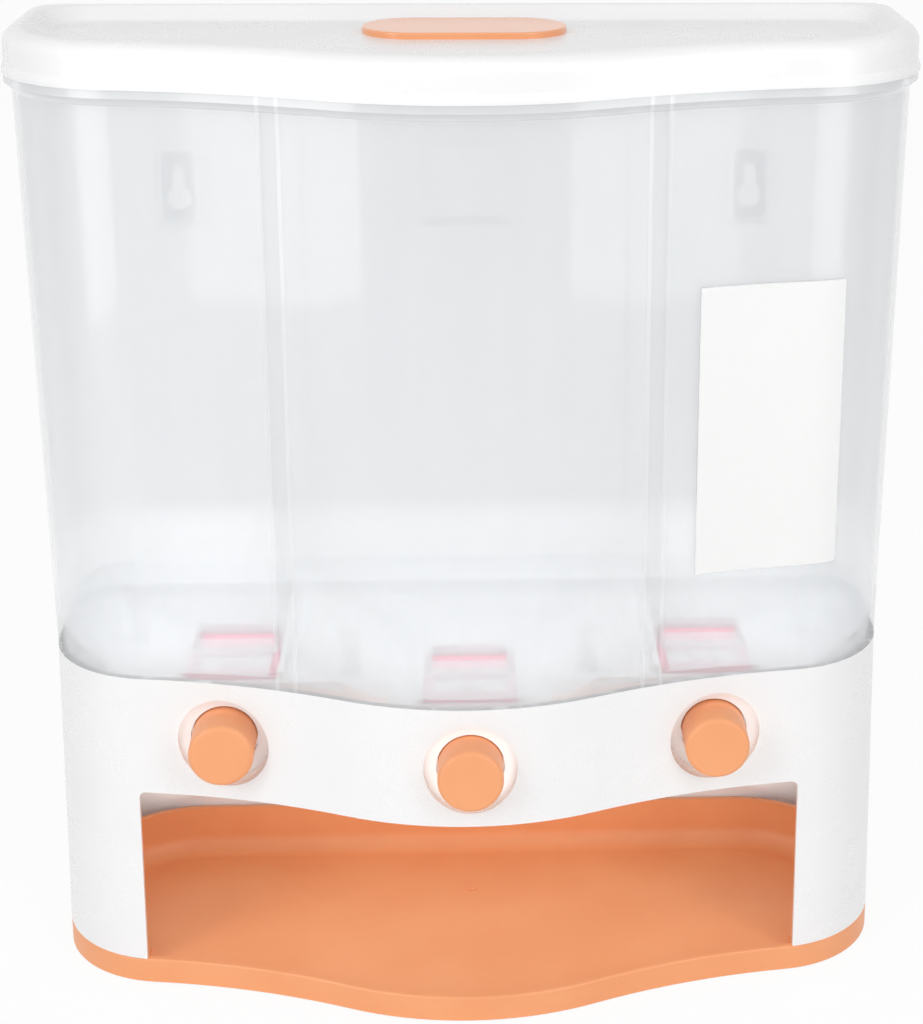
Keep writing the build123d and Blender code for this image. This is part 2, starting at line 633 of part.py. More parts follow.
with BuildPart() as lid:
    add(plan(MOUTH_TOP, LID_SWELL))
    extrude(amount=LID_HEIGHT)
    add(recess.part, mode=Mode.SUBTRACT)
    crest = lid.faces().sort_by(Axis.Z)[-1]
    fillet(crest.inner_wires()[0].edges(), radius=CREST_ROUND)
    crest = lid.faces().sort_by(Axis.Z)[-1]
    fillet(crest.outer_wire().edges(), radius=LID_ROUND)
    add(plan(MOUTH_TOP, LID_BEAD_SWELL))
    extrude(amount=LID_BEAD_HEIGHT)
    add(plan(MOUTH_TOP + LID_BEAD_HEIGHT, LID_BEAD_SWELL))
    add(plan(MOUTH_TOP + LID_BEAD_HEIGHT + LID_BEAD_TAPER, LID_SWELL))
    loft(ruled=True)
    add(plan(MOUTH_TOP, HOLLOW_SWELL, LID_WALL))
    extrude(amount=PANEL_BOTTOM - MOUTH_TOP, mode=Mode.SUBTRACT)
    add(crest_hollow, mode=Mode.SUBTRACT)
    add(plug)
    add(seal_groove, mode=Mode.SUBTRACT)
    with BuildSketch(Plane.XY.offset(PANEL_BOTTOM)):
        with Locations((-PEG_SPACING / 2, GRIP_Y), (PEG_SPACING / 2, GRIP_Y)):
            Circle(PEG_DIAMETER / 2 + PRESS)
    extrude(amount=LID_WALL, mode=Mode.SUBTRACT)
lid.part.label = "lid"

# Soft seal seated in the groove round the plug
with BuildPart() as lid_seal:
    add(plan(SEAL_BOTTOM + PRESS, PLUG_SWELL + SEAL_PROUD, PLUG_INSET - SEAL_PROUD))
    extrude(amount=SEAL_SECTION - 2 * PRESS)
    add(
        plan(
            SEAL_BOTTOM + PRESS,
            PLUG_SWELL - GROOVE_FLOOR + PRESS,
            PLUG_INSET + GROOVE_FLOOR - PRESS,
        )
    )
    extrude(amount=SEAL_SECTION - 2 * PRESS, mode=Mode.SUBTRACT)
lid_seal.part.label = "lid_seal"

# Orange grip pegged onto the middle of the recess
with BuildPart() as lid_grip:
    with BuildSketch(Plane.XY.offset(PANEL_TOP)):
        with Locations((0, GRIP_Y)):
            SlotOverall(GRIP_LENGTH, GRIP_WIDTH)
    extrude(amount=GRIP_HEIGHT)
    fillet(lid_grip.edges().group_by(Axis.Z)[-1], radius=GRIP_ROUND)
    with BuildSketch(Plane.XY.offset(PANEL_TOP)):
        with Locations((-PEG_SPACING / 2, GRIP_Y), (PEG_SPACING / 2, GRIP_Y)):
            Circle(PEG_DIAMETER / 2)
    extrude(amount=-LID_WALL)
lid_grip.part.label = "lid_grip"

# Dispensing deck: hangs under the hoppers and carries the gates, rods and chutes
SLOT_LENGTH = WEB_THICKNESS + TRAVEL + SLIP
SLOT_BACK = OUTLET_DEPTH - OUTLET_LENGTH / 2 - CHUTE_EASE - CHUTE_WALL - PRESS - SLOT_LAND
SLOT_FRONT = SLOT_BACK - SLOT_LENGTH
BULKHEAD_DEPTH = SLOT_FRONT - BULKHEAD_THICKNESS
RAIL_BACK = OUTLET_DEPTH + OUTLET_LENGTH / 2 + GATE_OVERLAP + TRAVEL + RAIL_OVERRUN

with BuildPart() as deck:
    add(plan(DECK_LEVEL, SPIGOT_SWELL, SPIGOT_INSET))
    extrude(amount=DECK_THICKNESS)
    with BuildSketch(Plane.XY.offset(DECK_LEVEL)):
        with Locations((0, APEX_Y + BULKHEAD_DEPTH)):
            Rectangle(2 * HOUSING_WIDTH, BODY_DEPTH, align=(Align.CENTER, Align.MAX))
        step_x = (TONGUE_WIDTH + HOUSING_WIDTH) / 2
        step_y = APEX_Y + BULKHEAD_DEPTH + SIDE_SETBACK
        with Locations((-step_x, step_y), (step_x, step_y)):
            Rectangle(HOUSING_WIDTH, BODY_DEPTH, align=(Align.CENTER, Align.MAX))
    extrude(amount=DECK_THICKNESS, mode=Mode.SUBTRACT)
    for name, (x, setback, _) in STATIONS.items():
        with BuildSketch(facing_front(x, BULKHEAD_DEPTH + setback, DECK_LEVEL)):
            Rectangle(BULKHEAD_WIDTH, BULKHEAD_DROP, align=(Align.CENTER, Align.MAX))
        extrude(amount=-BULKHEAD_THICKNESS)
        rail_y = APEX_Y + setback + SLOT_FRONT
        rail_x = GATE_WIDTH / 2 + SLIDE_GAP + RAIL_WIDTH / 2
        with BuildSketch(Plane.XY.offset(DECK_TOP)):
            with Locations((x - rail_x, rail_y), (x + rail_x, rail_y)):
                Rectangle(RAIL_WIDTH, RAIL_BACK - SLOT_FRONT, align=(Align.CENTER, Align.MIN))
        extrude(amount=RAIL_HEIGHT)
        with BuildSketch(Plane.XY.offset(DECK_LEVEL)):
            with Locations((x, rail_y)):
                Rectangle(WEB_WIDTH + 2 * SLIP, SLOT_LENGTH, align=(Align.CENTER, Align.MIN))
        extrude(amount=DECK_THICKNESS, mode=Mode.SUBTRACT)
        add(rectangle_at(DECK_LEVEL, *outlet(name, CHUTE_EASE + CHUTE_WALL + PRESS)))
        extrude(amount=DECK_THICKNESS, mode=Mode.SUBTRACT)
        with BuildSketch(facing_front(x, BULKHEAD_DEPTH + setback, BUTTON_LEVEL)):
            Circle(ROD_DIAMETER / 2 + RUNNING)
        extrude(amount=-BULKHEAD_THICKNESS, mode=Mode.SUBTRACT)
    with BuildSketch(Plane.XY.offset(DECK_LEVEL)):
        with Locations(*DECK_SCREWS):
            Circle(SCREW_DIAMETER / 2 + RUNNING)
    extrude(amount=DECK_THICKNESS, mode=Mode.SUBTRACT)
deck.part.label = "deck"

# Chutes: short square tubes glued into the deck under each gate
chutes = {}
for name in STATIONS:
    with BuildPart() as chute:
        add(rectangle_at(DECK_LEVEL - CHUTE_DROP, *outlet(name, CHUTE_EASE + CHUTE_WALL)))
        extrude(amount=CHUTE_DROP + DECK_THICKNESS)
        add(rectangle_at(DECK_LEVEL - CHUTE_WALL, *outlet(name, CHUTE_EASE + CHUTE_WALL + CHUTE_FLANGE)))
        extrude(amount=CHUTE_WALL)
        add(rectangle_at(DECK_LEVEL - CHUTE_DROP, *outlet(name, CHUTE_EASE)))
        extrude(amount=CHUTE_DROP + DECK_THICKNESS, mode=Mode.SUBTRACT)
    chute.part.label = "chute_" + name
    chutes[name] = chute.part

# Buttons: round caps, hollow from behind, with a socket for the gate's rod
SOCKET_DIAMETER = ROD_DIAMETER + 2 * SOCKET_WALL
ROD_FRONT = BUTTON_FACE_WALL + SOCKET_LENGTH - SOCKET_DEPTH - BUTTON_PROUD
buttons = {}
for name, (x, setback, _) in STATIONS.items():
    with BuildPart() as button:
        face_depth = setback - BUTTON_PROUD
        with BuildSketch(facing_front(x, face_depth, BUTTON_LEVEL)):
            Circle(BUTTON_DIAMETER / 2)
        extrude(amount=-BUTTON_LENGTH)
        fillet(button.edges().group_by(Axis.Y)[0], radius=BUTTON_ROUND)
        with BuildSketch(facing_front(x, face_depth + BUTTON_FACE_WALL, BUTTON_LEVEL)):
            Circle(BUTTON_DIAMETER / 2 - BUTTON_SIDE_WALL)
        extrude(amount=BUTTON_FACE_WALL - BUTTON_LENGTH, mode=Mode.SUBTRACT)
        with BuildSketch(facing_front(x, face_depth + BUTTON_FACE_WALL, BUTTON_LEVEL)):
            Circle(SOCKET_DIAMETER / 2)
        extrude(amount=-SOCKET_LENGTH)
        with BuildSketch(facing_front(x, setback + ROD_FRONT, BUTTON_LEVEL)):
            Circle(ROD_DIAMETER / 2 + PRESS)
        extrude(amount=-SOCKET_DEPTH, mode=Mode.SUBTRACT)
    button.part.label = "button_" + name
    buttons[name] = button.part

# Gates: a windowed plate with a web down to the rod that the button pushes
WEB_FRONT = SLOT_FRONT + RUNNING
GATE_BACK = OUTLET_DEPTH + OUTLET_LENGTH / 2 + GATE_OVERLAP
WINDOW_BACK = OUTLET_DEPTH - OUTLET_LENGTH / 2 - WINDOW_LAND
gates = {}
for name, (x, setback, _) in STATIONS.items():
    with BuildPart() as gate:
        with BuildSketch(Plane.XY.offset(GATE_BOTTOM)):
            with Locations((x, APEX_Y + setback + WEB_FRONT)):
                Rectangle(GATE_WIDTH, GATE_BACK - WEB_FRONT, align=(Align.CENTER, Align.MIN))
            with Locations((x, APEX_Y + setback + WINDOW_BACK)):
                Rectangle(OUTLET_WIDTH, WINDOW_LENGTH, align=(Align.CENTER, Align.MAX), mode=Mode.SUBTRACT)
        extrude(amount=GATE_THICKNESS)
        with BuildSketch(facing_front(x, setback + WEB_FRONT, GATE_TOP)):
            web_height = GATE_TOP - BUTTON_LEVEL
            Rectangle(WEB_WIDTH, web_height, align=(Align.CENTER, Align.MAX))
            with Locations((0, -web_height)):
                Circle(WEB_WIDTH / 2)
        extrude(amount=-WEB_THICKNESS)
        with BuildSketch(facing_front(x, setback + WEB_FRONT + WEB_THICKNESS / 2, BUTTON_LEVEL)):
            Circle(ROD_DIAMETER / 2)
        extrude(amount=WEB_FRONT + WEB_THICKNESS / 2 - ROD_FRONT)
    gate.part.label = "gate_" + name
    gates[name] = gate.part

# Return springs between the buttons and the deck's bulkheads, drawn as sleeves
springs = {}
for name, (x, setback, _) in STATIONS.items():
    with BuildPart() as spring:
        with BuildSketch(facing_front(x, BULKHEAD_DEPTH + setback, BUTTON_LEVEL)):
            Circle(SPRING_OUTER / 2)
            Circle(SPRING_OUTER / 2 - SPRING_WIRE, mode=Mode.SUBTRACT)
        extrude(amount=BULKHEAD_DEPTH + BUTTON_PROUD - BUTTON_FACE_WALL)
    spring.part.label = "spring_" + name
    springs[name] = spring.part

# Soft frames round the outlets, against which the gates run
with BuildPart() as outlet_seals:
    for name in STATIONS:
        add(rectangle_at(NECK_BOTTOM - OUTLET_SEAL, *outlet(name, HOPPER_WALL)))
        extrude(amount=OUTLET_SEAL)
        add(rectangle_at(NECK_BOTTOM - OUTLET_SEAL, *outlet(name)))
        extrude(amount=OUTLET_SEAL, mode=Mode.SUBTRACT)
outlet_seals.part.label = "outlet_seals"

# Screws: pan heads with a cross drive, all driven from below
with BuildPart() as deck_screws:
    with BuildSketch(Plane.XY.offset(DECK_LEVEL)):
        with Locations(*DECK_SCREWS):
            Circle(SCREW_HEAD_DIAMETER / 2)
    extrude(amount=-SCREW_HEAD_HEIGHT)
    with BuildSketch(Plane.XY.offset(DECK_LEVEL)):
        with Locations(*DECK_SCREWS):
            Circle(SCREW_DIAMETER / 2)
    extrude(amount=DECK_SCREW_LENGTH)
    with BuildSketch(Plane.XY.offset(DECK_LEVEL - SCREW_HEAD_HEIGHT)):
        with Locations(*DECK_SCREWS):
            Rectangle(DRIVE_LENGTH, DRIVE_WIDTH)
            Rectangle(DRIVE_WIDTH, DRIVE_LENGTH)
    extrude(amount=DRIVE_DEPTH, mode=Mode.SUBTRACT)
deck_screws.part.label = "deck_screws"

with BuildPart() as base_screws:
    with BuildSketch(Plane.XY.offset(SCREW_SEAT)):
        with Locations(*BASE_SCREWS):
            Circle(SCREW_HEAD_DIAMETER / 2)
    extrude(amount=-SCREW_HEAD_HEIGHT)
    with BuildSketch(Plane.XY.offset(SCREW_SEAT)):
        with Locations(*BASE_SCREWS):
            Circle(SCREW_DIAMETER / 2)
    extrude(amount=BASE_SCREW_LENGTH)
    with BuildSketch(Plane.XY.offset(SCREW_SEAT - SCREW_HEAD_HEIGHT)):
        with Locations(*BASE_SCREWS):
            Rectangle(DRIVE_LENGTH, DRIVE_WIDTH)
            Rectangle(DRIVE_WIDTH, DRIVE_LENGTH)
    extrude(amount=DRIVE_DEPTH, mode=Mode.SUBTRACT)
base_screws.part.label = "base_screws"

# Rubber feet pressed into the underside of the base tray
with BuildPart() as rubber_feet:
    with BuildSketch():
        with Locations(*FEET):
            Circle(FOOT_DIAMETER / 2)
    extrude(amount=FOOT_THICKNESS)
    fillet(rubber_feet.edges().group_by(Axis.Z)[0], radius=FOOT_ROUND)
rubber_feet.part.label = "rubber_feet"

# Blank paper label on the right of the container's front
with BuildPart() as label:
    add(plan(HOUSING_TOP, ADHESIVE + LABEL_THICKNESS))
    add(plan(FLANGE_BOTTOM, MOUTH_SWELL + ADHESIVE + LABEL_THICKNESS))
    loft(ruled=True)
    add(plan(HOUSING_TOP, ADHESIVE))
    add(plan(FLANGE_BOTTOM, MOUTH_SWELL + ADHESIVE))
    loft(ruled=True, mode=Mode.SUBTRACT)
    with BuildSketch(facing_front(LABEL_LEFT + LABEL_WIDTH / 2, BODY_DEPTH / 2, LABEL_BOTTOM)):
        Rectangle(LABEL_WIDTH, LABEL_HEIGHT, align=(Align.CENTER, Align.MIN))
    extrude(amount=BODY_DEPTH / 2 + BEYOND, mode=Mode.INTERSECT)
label.part.label = "label"

os.makedirs("parts", exist_ok=True)
export_step(base_tray.part, "parts/base_tray.step")
export_step(housing.part, "parts/housing.step")
export_step(container.part, "parts/container.step")
export_step(lid.part, "parts/lid.step")
export_step(lid_seal.part, "parts/lid_seal.step")
export_step(lid_grip.part, "parts/lid_grip.step")
export_step(deck.part, "parts/deck.step")
for name in STATIONS:
    export_step(chutes[name], "parts/chute_" + name + ".step")
    export_step(buttons[name], "parts/button_" + name + ".step")
    export_step(gates[name], "parts/gate_" + name + ".step")
    export_step(springs[name], "parts/spring_" + name + ".step")
export_step(outlet_seals.part, "parts/outlet_seals.step")
export_step(deck_screws.part, "parts/deck_screws.step")
export_step(base_screws.part, "parts/base_screws.step")
export_step(rubber_feet.part, "parts/rubber_feet.step")
export_step(label.part, "parts/label.step")
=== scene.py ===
"""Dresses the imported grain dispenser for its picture.

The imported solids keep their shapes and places. This script gives each of them a finish, puts wound
coils in place of the plain spring sleeves, and sets up the studio: softboxes, floor, surroundings
and camera. Lengths are in metres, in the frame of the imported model.
"""

import logging
import math
from dataclasses import dataclass
from enum import Enum
from typing import Mapping, Optional, Sequence, Union

import bmesh
import bpy
from mathutils import Matrix, Vector

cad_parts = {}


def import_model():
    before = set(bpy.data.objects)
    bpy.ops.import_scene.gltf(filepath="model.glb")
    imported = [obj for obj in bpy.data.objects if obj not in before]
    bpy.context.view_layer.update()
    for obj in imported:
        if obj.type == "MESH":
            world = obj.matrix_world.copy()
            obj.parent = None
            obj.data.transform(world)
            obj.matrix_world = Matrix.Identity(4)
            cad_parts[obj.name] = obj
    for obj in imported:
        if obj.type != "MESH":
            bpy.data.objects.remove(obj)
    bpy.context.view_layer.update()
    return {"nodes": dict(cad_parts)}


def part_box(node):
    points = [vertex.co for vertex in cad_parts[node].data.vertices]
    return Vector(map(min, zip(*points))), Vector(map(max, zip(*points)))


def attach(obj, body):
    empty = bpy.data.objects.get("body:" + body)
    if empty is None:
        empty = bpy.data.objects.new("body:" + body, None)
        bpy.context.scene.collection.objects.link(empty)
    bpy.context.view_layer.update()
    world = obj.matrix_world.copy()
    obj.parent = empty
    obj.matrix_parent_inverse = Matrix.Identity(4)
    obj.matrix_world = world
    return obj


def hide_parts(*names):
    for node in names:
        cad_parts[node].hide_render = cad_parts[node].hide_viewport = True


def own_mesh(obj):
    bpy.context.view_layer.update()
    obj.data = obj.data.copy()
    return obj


LOG = logging.getLogger("grain_dispenser")

MM = 0.001
IMAGE_WIDTH = 923
IMAGE_HEIGHT = 1024
# Millimetres, which Blender counts lenses in.
SENSOR_WIDTH = 36.0
# A screen's brightness curve: straight up to the knee, and a power of the value above it.
SCREEN_FULL = 255
SCREEN_KNEE = 0.04045
SCREEN_SLOPE = 12.92
SCREEN_LIFT = 0.055
SCREEN_POWER = 2.4
STATIONS = ("left", "middle", "right")

Colour = tuple[float, float, float, float]
Point = tuple[float, float, float]
Input = Union["Field", float, Colour, Point]


def display(red: float, green: float, blue: float) -> Colour:
    """Turn screen values into the linear colour that a socket takes.

    Args:
        red: Screen red, from 0 to 255.
        green: Screen green, from 0 to 255.
        blue: Screen blue, from 0 to 255.

    Returns:
        Linear red, green and blue, and full alpha.
    """
    linear = []
    for level in (red, green, blue):
        value = level / SCREEN_FULL
        if value <= SCREEN_KNEE:
            linear.append(value / SCREEN_SLOPE)
        else:
            linear.append(((value + SCREEN_LIFT) / (1 + SCREEN_LIFT)) ** SCREEN_POWER)
    return linear[0], linear[1], linear[2], 1.0


class Slot(Enum):
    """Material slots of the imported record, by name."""

    SPRING_STEEL = "spring_steel"


class Streak(Enum):
    """Which way a finish is drawn out, as a share of its grain along X, Y and Z."""

    NONE = (1.0, 1.0, 1.0)
    UPRIGHT = (1.0, 1.0, 0.08)
    ALONG_Y = (1.0, 0.1, 1.0)


class Outline(Enum):
    """Outlines of a lamp's front."""

    BOX = "RECTANGLE"
    ROUND = "ELLIPSE"


class Field:
    """A value, vector or colour of a node tree that Python expressions can use."""

    def __init__(self, sheet: "NodeSheet", socket: bpy.types.NodeSocket) -> None:
        """Wrap one output socket.

        Args:
            sheet: Node tree that the socket belongs to.
            socket: Output socket that holds the value.
        """
        self.sheet = sheet
        self.socket = socket

    def _combine(self, operation: str, left: Input, right: Input) -> "Field":
        """Add the node of one operator.

        Args:
            operation: Operation of the Math or Vector Math node.
            left: Left operand.
            right: Right operand.

        Returns:
            The node's result.
        """
        on_values = self.socket.type == "VALUE"
        kind = "ShaderNodeMath" if on_values else "ShaderNodeVectorMath"
        return self.sheet.field(kind, {"operation": operation}, {0: left, 1: right})

    def __add__(self, other: Input) -> "Field":
        """Add, with self on the left."""
        return self._combine("ADD", self, other)

    def __radd__(self, other: Input) -> "Field":
        """Add, with self on the right."""
        return self._combine("ADD", other, self)

    def __sub__(self, other: Input) -> "Field":
        """Subtract other from self."""
        return self._combine("SUBTRACT", self, other)

    def __rsub__(self, other: Input) -> "Field":
        """Subtract self from other."""
        return self._combine("SUBTRACT", other, self)

    def __mul__(self, other: Input) -> "Field":
        """Multiply, with self on the left."""
        return self._combine("MULTIPLY", self, other)

    def __rmul__(self, other: Input) -> "Field":
        """Multiply, with self on the right."""
        return self._combine("MULTIPLY", other, self)

    def __abs__(self) -> "Field":
        """Drop the sign."""
        return self.sheet.field("ShaderNodeMath", {"operation": "ABSOLUTE"}, {0: self})


class NodeSheet:
    """Node tree of a material or of the surroundings, built by expressions."""

    NODE_SPACING = 190.0
    NOISE_MIDDLE = 0.5
    COLOUR_SHARE = 0
    FIRST_COLOUR = 6
    SECOND_COLOUR = 7
    MIXED_COLOUR = 2

    def __init__(self, owner: Union[bpy.types.Material, bpy.types.World]) -> None:
        """Start an empty node tree.

        Args:
            owner: Material or world whose node tree is rebuilt.
        """
        owner.use_nodes = True
        self.owner = owner
        self.tree = owner.node_tree
        self.tree.nodes.clear()

    def node(
        self,
        kind: str,
        settings: Optional[Mapping[str, object]] = None,
        sockets: Optional[Mapping[Union[int, str], Input]] = None,
    ) -> bpy.types.Node:
        """Add a node, set it up and connect it.

        Args:
            kind: Blender's name for the node's type.
            settings: Properties set first; "stops" holds a ramp's places and colours.
            sockets: Values or fields for its inputs, by name or by number.

        Returns:
            The new node.
        """
        node = self.tree.nodes.new(kind)
        node.location = (self.NODE_SPACING * len(self.tree.nodes), 0.0)
        for name, value in (settings or {}).items():
            if name == "stops":
                self._set_stops(node, value)
            else:
                setattr(node, name, value)
        for key, value in (sockets or {}).items():
            if isinstance(value, Field):
                self.tree.links.new(value.socket, node.inputs[key])
            else:
                node.inputs[key].default_value = value
        return node

    @staticmethod
    def _set_stops(node: bpy.types.Node, stops: Sequence[tuple[float, Colour]]) -> None:
        """Give a colour ramp its two or more stops.

        Args:
            node: Colour ramp node.
            stops: Place and colour of each stop, in order.
        """
        elements = node.color_ramp.elements
        while len(elements) < len(stops):
            elements.new(1.0)
        for element, (place, colour) in zip(elements, stops):
            element.position = place
            element.color = colour

    def field(
        self,
        kind: str,
        settings: Optional[Mapping[str, object]] = None,
        sockets: Optional[Mapping[Union[int, str], Input]] = None,
        output: Union[int, str] = 0,
    ) -> Field:
        """Add a node and hand over one of its outputs.

        Args:
            kind: Blender's name for the node's type.
            settings: Properties that are set first.
            sockets: Values or fields for its inputs.
            output: Name or number of the output.

        Returns:
            The output as a field.
        """
        return Field(self, self.node(kind, settings, sockets).outputs[output])

    def place(self) -> Field:
        """Return the point on the piece, in metres, which moves with the piece."""
        return self.field("ShaderNodeTexCoord", output="Object")

    def noise(self, size: float, detail: float = 0.0, streak: Streak = Streak.NONE) -> Field:
        """Return soft noise between 0 and 1.

        Args:
            size: Size of its lumps in metres.
            detail: How many finer layers it has.
            streak: Which way the lumps are drawn out.

        Returns:
            The noise.
        """
        place = self.place()
        if streak is not Streak.NONE:
            place = place * streak.value
        sockets = {"Vector": place, "Scale": 1 / size, "Detail": detail}
        return self.field("ShaderNodeTexNoise", None, sockets)

    def swing(self, noise: Field, amount: float) -> Field:
        """Return noise laid evenly round 0, with this distance between its ends."""
        return (noise - self.NOISE_MIDDLE) * amount

    def steps(self, value: Field, low: float, high: float) -> Field:
        """Return 0 where a value is under low, 1 where it is over high, and a smooth rise between.

        Args:
            value: Value that is compared.
            low: Where the rise starts.
            high: Where the rise ends.

        Returns:
            The smooth step.
        """
        settings = {"interpolation_type": "SMOOTHSTEP"}
        sockets = {"Value": value, "From Min": low, "From Max": high}
        return self.field("ShaderNodeMapRange", settings, sockets)

    def blend(self, share: Input, first: Input, second: Input) -> Field:
        """Mix two colours.

        Args:
            share: Share of the second colour.
            first: Colour at share 0.
            second: Colour at share 1.

        Returns:
            The mixed colour.
        """
        sockets = {self.COLOUR_SHARE: share, self.FIRST_COLOUR: first, self.SECOND_COLOUR: second}
        return self.field("ShaderNodeMix", {"data_type": "RGBA"}, sockets, self.MIXED_COLOUR)

    def relief(self, height: Field) -> Field:
        """Return the normal of a surface with this height, in millimetres."""
        return self.field("ShaderNodeBump", None, {"Height": height, "Distance": MM})

    def finish(self, shader: Field, kind: str = "ShaderNodeOutputMaterial") -> None:
        """Connect a shader to the output.

        Args:
            shader: Output of a shader node.
            kind: Type of the output node.
        """
        self.node(kind, None, {"Surface": shader})


@dataclass(frozen=True)
class Finish:
    """A surface finish and the way that it becomes a material."""

    name: str

    def material(self) -> bpy.types.Material:
        """Build the material of this finish.

        Returns:
            The material.
        """
        sheet = NodeSheet(bpy.data.materials.new(self.name))
        sheet.finish(self.shade(sheet))
        return sheet.owner

    def shade(self, sheet: NodeSheet) -> Field:
        """Draw the finish; each kind of finish has its own."""
        raise NotImplementedError


@dataclass(frozen=True)
class MouldedPlastic(Finish):
    """Injection-moulded plastic: faint colour flow, a fine eroded grain and slight sink ripples."""

    colour: Colour
    flow_colour: Colour
    roughness: float
    coat: float = 0.0
    coat_roughness: float = 0.08
    flow_size: float = 35 * MM
    flow_starts: float = 0.3
    flow_ends: float = 0.7
    flow_roughness: float = 0.08
    grain_size: float = 0.55 * MM
    grain_roughness: float = 0.03
    grain_depth: float = 0.0004
    ripple_size: float = 30 * MM
    ripple_depth: float = 0.008

    def shade(self, sheet: NodeSheet) -> Field:
        """Draw the plastic.

        Args:
            sheet: Node tree that the finish is drawn in.

        Returns:
            The shader.
        """
        flow = sheet.noise(self.flow_size, detail=3.0)
        grain = sheet.noise(self.grain_size, detail=1.0)
        ripple = sheet.noise(self.ripple_size)
        streams = sheet.steps(flow, self.flow_starts, self.flow_ends)
        flow_gloss = sheet.swing(flow, self.flow_roughness)
        grain_gloss = sheet.swing(grain, self.grain_roughness)
        sockets = {
            "Base Color": sheet.blend(streams, self.colour, self.flow_colour),
            "Roughness": self.roughness + flow_gloss + grain_gloss,
            "Coat Weight": self.coat,
            "Coat Roughness": self.coat_roughness,
            "Normal": sheet.relief(grain * self.grain_depth + ripple * self.ripple_depth),
        }
        return sheet.field("ShaderNodeBsdfPrincipled", None, sockets)


@dataclass(frozen=True)
class FrostedPlastic(Finish):
    """Milky see-through plastic with upright flow lines and a smooth outer skin.

    It is milkier in the thick rim and along the edges where the outer walls meet a partition.
    """

    colour: Colour
    milk_colour: Colour
    opacity: float
    roughness: float
    rim_level: float = 332.3 * MM
    rim_fade: float = 1.5 * MM
    rim_opacity: float = 0.34
    edge_x: float = 64.8 * MM
    edge_offset: float = 3.3 * MM
    edge_width: float = 0.9 * MM
    edge_opacity: float = 0.12
    coat_roughness: float = 0.06
    cloud_size: float = 80 * MM
    cloud_opacity: float = 0.06
    line_size: float = 14 * MM
    line_opacity: float = 0.025
    line_roughness: float = 0.1
    milk_share: float = 0.5
    ripple_size: float = 24 * MM
    ripple_depth: float = 0.08

    def shade(self, sheet: NodeSheet) -> Field:
        """Draw the plastic.

        Args:
            sheet: Node tree that the finish is drawn in.

        Returns:
            The shader.
        """
        cloud = sheet.noise(self.cloud_size, detail=2.0)
        lines = sheet.noise(self.line_size, detail=1.0, streak=Streak.UPRIGHT)
        ripple = sheet.noise(self.ripple_size, streak=Streak.UPRIGHT)
        milk = (cloud + lines) * self.milk_share
        cloudy = sheet.swing(cloud, self.cloud_opacity)
        lined = sheet.swing(lines, self.line_opacity)
        opacity = self.opacity + cloudy + lined
        thick = self._rim(sheet) * self.rim_opacity + self._partition_edge(sheet) * self.edge_opacity
        sockets = {
            "Base Color": sheet.blend(milk, self.colour, self.milk_colour),
            "Roughness": self.roughness + sheet.swing(lines, self.line_roughness),
            "Alpha": opacity + thick,
            "Specular IOR Level": 1.0,
            "Coat Weight": 1.0,
            "Coat Roughness": self.coat_roughness,
            "Normal": sheet.relief(ripple * self.ripple_depth),
        }
        return sheet.field("ShaderNodeBsdfPrincipled", None, sockets)

    def _rim(self, sheet: NodeSheet) -> Field:
        """Find the thick rim round the mouth.

        Args:
            sheet: Node tree that the mask is drawn in.

        Returns:
            1 in the rim, and 0 well below it.
        """
        level = sheet.field("ShaderNodeSeparateXYZ", None, {"Vector": sheet.place()}, "Z")
        return sheet.steps(level, self.rim_level - self.rim_fade, self.rim_level)

    def _partition_edge(self, sheet: NodeSheet) -> Field:
        """Find the two milky edges of the thick wall in front of each partition.

        Args:
            sheet: Node tree that the mask is drawn in.

        Returns:
            1 along the edges, and 0 elsewhere.
        """
        across = sheet.field("ShaderNodeSeparateXYZ", None, {"Vector": sheet.place()}, "X")
        from_middle = abs(abs(across) - self.edge_x)
        from_edge = abs(from_middle - self.edge_offset)
        return 1 - sheet.steps(from_edge, self.edge_width / 2, self.edge_width)


@dataclass(frozen=True)
class SoftRubber(Finish):
    """Soft rubber: dull, with a dusty bloom in patches."""

    colour: Colour
    bloom_colour: Colour
    roughness: float = 0.7
    opacity: float = 1.0
    bloom_size: float = 6 * MM
    bloom_starts: float = 0.4
    bloom_ends: float = 0.75
    bloom_roughness: float = 0.2
    grain_size: float = 0.3 * MM
    grain_depth: float = 0.012

    def shade(self, sheet: NodeSheet) -> Field:
        """Draw the rubber.

        Args:
            sheet: Node tree that the finish is drawn in.

        Returns:
            The shader.
        """
        bloom = sheet.noise(self.bloom_size, detail=3.0)
        grain = sheet.noise(self.grain_size, detail=1.0)
        patches = sheet.steps(bloom, self.bloom_starts, self.bloom_ends)
        sockets = {
            "Base Color": sheet.blend(patches, self.colour, self.bloom_colour),
            "Roughness": self.roughness + sheet.swing(bloom, self.bloom_roughness),
            "Alpha": self.opacity,
            "Normal": sheet.relief(grain * self.grain_depth),
        }
        return sheet.field("ShaderNodeBsdfPrincipled", None, sockets)


